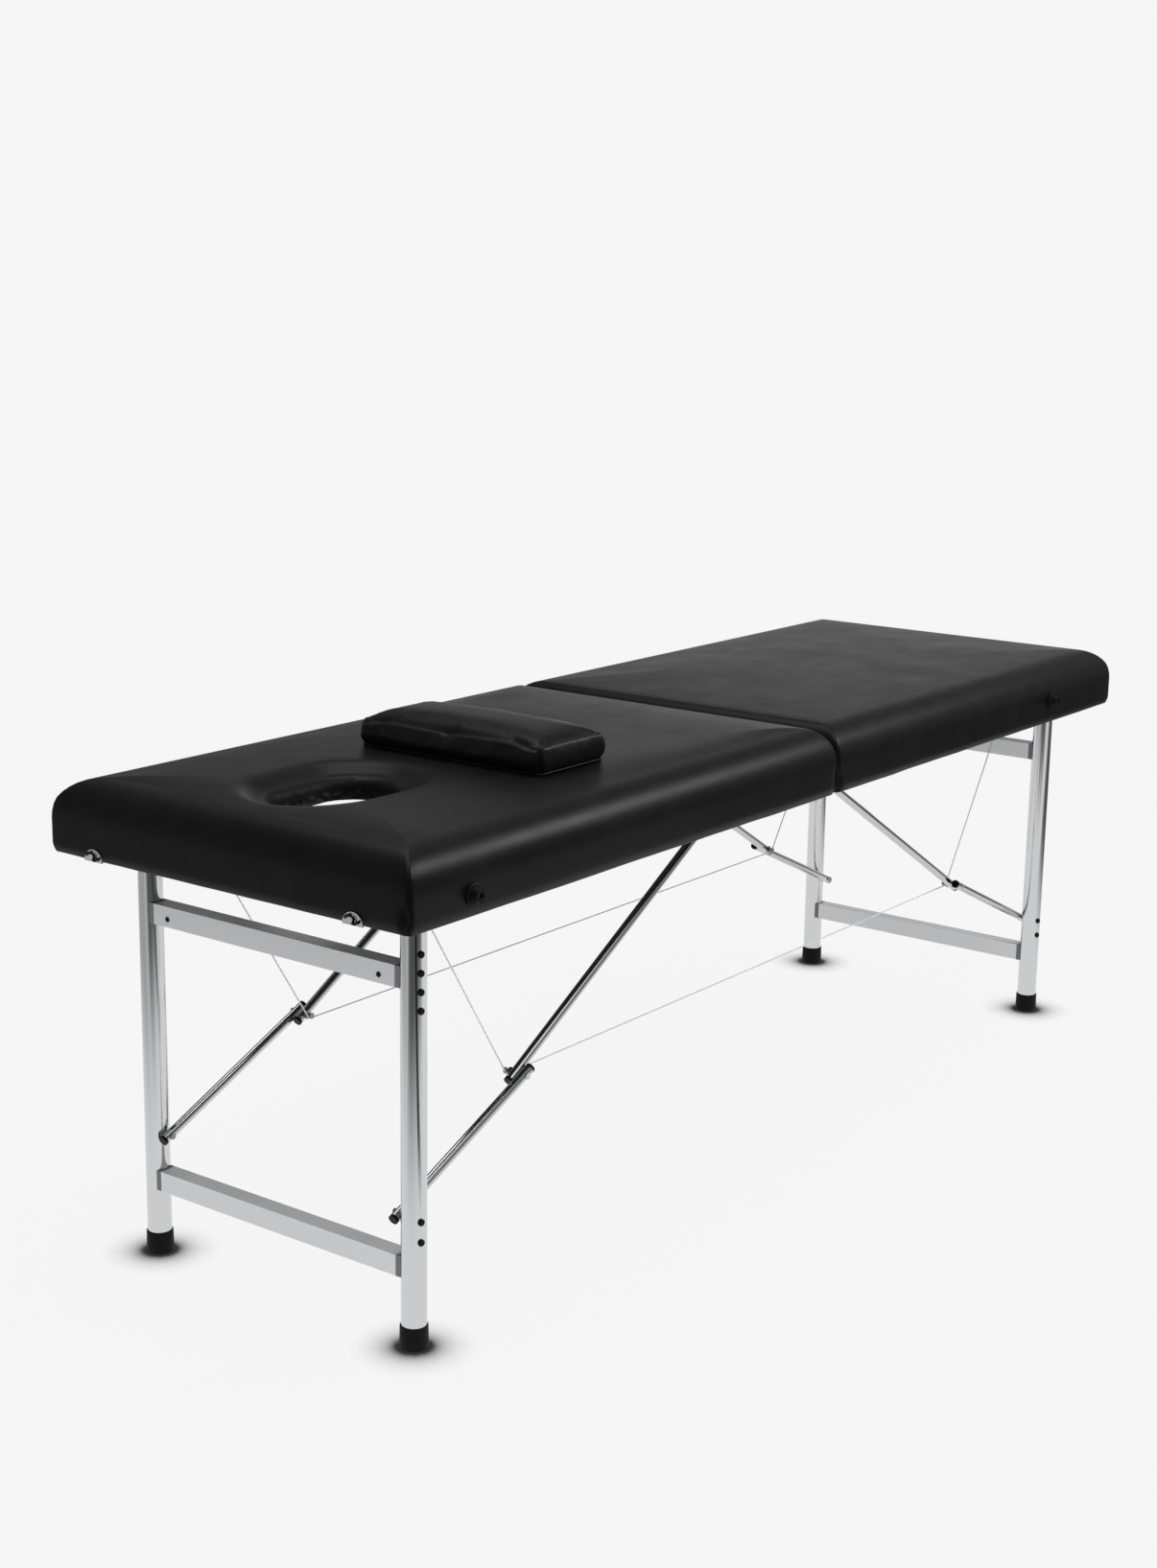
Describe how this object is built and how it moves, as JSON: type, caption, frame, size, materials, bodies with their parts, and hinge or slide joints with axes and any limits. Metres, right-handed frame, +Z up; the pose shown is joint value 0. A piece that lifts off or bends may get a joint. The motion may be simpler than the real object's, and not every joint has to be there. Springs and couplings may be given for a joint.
{
  "type": "folding massage table",
  "caption": "Padded folding massage table: hinged case top with a face hole, folding tube leg frames with braces and stay cables, and a loose pillow.",
  "frame": {"origin": "middle of the open table, on the floor", "axes": "+X runs from the head end to the foot end, +Y is the far side with the handle, +Z is up"},
  "size_m": [1.8593, 0.6416, 0.7029],
  "materials": {
    "black_vinyl": "black semi-gloss upholstery vinyl with a fine grain",
    "black_vinyl_pillow": "black semi-gloss upholstery vinyl over foam",
    "foam": "cream open-cell foam",
    "plywood": "black stained plywood",
    "rail_wood": "black stained hardwood",
    "zinc_plate": "zinc-plated sheet steel",
    "steel_pin": "bright steel bolts and rivets",
    "cable_steel": "fine steel wire",
    "leg_aluminium": "bright polished aluminium tube",
    "bar_aluminium": "satin aluminium square tube",
    "link_chrome": "bright chromed steel tube",
    "latch_chrome": "polished chrome plate",
    "hook_steel": "dark steel hook",
    "rubber": "matte black rubber",
    "black_plastic": "black moulded plastic",
    "webbing": "black woven webbing"
  },
  "bodies": {
    "head_section": {"head_cover": "black_vinyl", "head_foam": "foam", "head_panel": "plywood", "head_side_rails": "rail_wood", "head_end_rail": "rail_wood", "head_fold_rail": "rail_wood", "head_leg_brackets": "zinc_plate", "head_pivot_pins": "steel_pin", "head_brace_brackets": "zinc_plate", "head_bumper": "rubber", "head_hinge_leaves": "zinc_plate", "head_cable_eyes": "steel_pin", "head_cables": "cable_steel", "head_latch_plates": "latch_chrome", "handle_strap": "webbing", "handle_clips": "black_plastic"},
    "hinge_pins": {"hinge_pins": "steel_pin"},
    "foot_section": {"foot_cover": "black_vinyl", "foot_foam": "foam", "foot_panel": "plywood", "foot_side_rails": "rail_wood", "foot_end_rail": "rail_wood", "foot_fold_rail": "rail_wood", "foot_leg_brackets": "zinc_plate", "foot_pivot_pins": "steel_pin", "foot_brace_brackets": "zinc_plate", "foot_bumper": "rubber", "foot_hinge_leaves": "zinc_plate", "foot_cable_eyes": "steel_pin", "foot_cables": "cable_steel", "foot_latch_plates": "latch_chrome"},
    "head_leg_frame": {"head_legs": "leg_aluminium", "head_upper_crossbar": "bar_aluminium", "head_lower_crossbar": "bar_aluminium", "head_feet": "rubber", "head_saddles": "black_plastic", "head_bolt_heads": "black_plastic", "head_brace_pins": "steel_pin"},
    "foot_leg_frame": {"foot_legs": "leg_aluminium", "foot_upper_crossbar": "bar_aluminium", "foot_lower_crossbar": "bar_aluminium", "foot_feet": "rubber", "foot_saddles": "black_plastic", "foot_bolt_heads": "black_plastic", "foot_brace_pins": "steel_pin"},
    "head_upper_braces": {"head_upper_links": "link_chrome", "head_upper_link_caps": "black_plastic", "head_mid_pins": "steel_pin"},
    "foot_upper_braces": {"foot_upper_links": "link_chrome", "foot_upper_link_caps": "black_plastic", "foot_mid_pins": "steel_pin"},
    "head_lower_braces": {"head_lower_links": "link_chrome", "head_lower_link_caps": "black_plastic"},
    "foot_lower_braces": {"foot_lower_links": "link_chrome", "foot_lower_link_caps": "black_plastic"},
    "latch_hook_near": {"latch_hook_near": "hook_steel"},
    "latch_hook_far": {"latch_hook_far": "hook_steel"},
    "pillow": {"pillow": "black_vinyl_pillow"}
  },
  "joints": [
    {"name": "fold", "type": "hinge", "parent": "hinge_pins", "child": "foot_section", "pos_m": [0, 0, 0.5515], "axis": [0, 1, 0], "range_deg": [0, 135], "deforming": ["head_cables", "foot_cables"]},
    {"name": "fold_close", "type": "hinge", "parent": "hinge_pins", "child": "head_section", "pos_m": [0, 0, 0.5515], "axis": [0, -1, 0], "range_deg": [0, 45]},
    {"name": "head_legs_fold", "type": "hinge", "parent": "head_section", "child": "head_leg_frame", "pos_m": [-0.829, 0, 0.5787], "axis": [0, -1, 0], "range_deg": [0, 90]},
    {"name": "foot_legs_fold", "type": "hinge", "parent": "foot_section", "child": "foot_leg_frame", "pos_m": [0.829, 0, 0.5787], "axis": [0, 1, 0], "range_deg": [0, 90]},
    {"name": "head_upper_brace_pivot", "type": "hinge", "parent": "head_section", "child": "head_upper_braces", "pos_m": [-0.038, 0, 0.5987], "axis": [0, 1, 0], "range_deg": [0, 30.46]},
    {"name": "foot_upper_brace_pivot", "type": "hinge", "parent": "foot_section", "child": "foot_upper_braces", "pos_m": [0.038, 0, 0.5987], "axis": [0, -1, 0], "range_deg": [0, 30.46]},
    {"name": "head_lower_brace_pivot", "type": "hinge", "parent": "head_leg_frame", "child": "head_lower_braces", "pos_m": [-0.829, 0, 0.167], "axis": [0, -1, 0], "range_deg": [0, 63.6]},
    {"name": "foot_lower_brace_pivot", "type": "hinge", "parent": "foot_leg_frame", "child": "foot_lower_braces", "pos_m": [0.829, 0, 0.167], "axis": [0, 1, 0], "range_deg": [0, 63.6]},
    {"name": "latch_hook_near_turn", "type": "hinge", "parent": "head_section", "child": "latch_hook_near", "pos_m": [-0.92905, -0.216, 0.5595], "axis": [1, 0, 0], "range_deg": [0, 90]},
    {"name": "latch_hook_far_turn", "type": "hinge", "parent": "head_section", "child": "latch_hook_far", "pos_m": [-0.92905, 0.216, 0.5595], "axis": [1, 0, 0], "range_deg": [0, 90]},
    {"name": "pillow_lift", "type": "slide", "parent": "head_section", "child": "pillow", "axis": [0, 0, 1], "range_m": [0, 0.15]}
  ],
  "couplings": [
    {"joint": "head_legs_fold", "follows": "fold", "ratio": 0.6666},
    {"joint": "head_upper_brace_pivot", "follows": "fold", "ratio": 0.22566},
    {"joint": "head_lower_brace_pivot", "follows": "fold", "ratio": 0.47111},
    {"joint": "foot_legs_fold", "follows": "fold", "ratio": 0.6666},
    {"joint": "foot_upper_brace_pivot", "follows": "fold", "ratio": 0.22566},
    {"joint": "foot_lower_brace_pivot", "follows": "fold", "ratio": 0.47111}
  ]
}
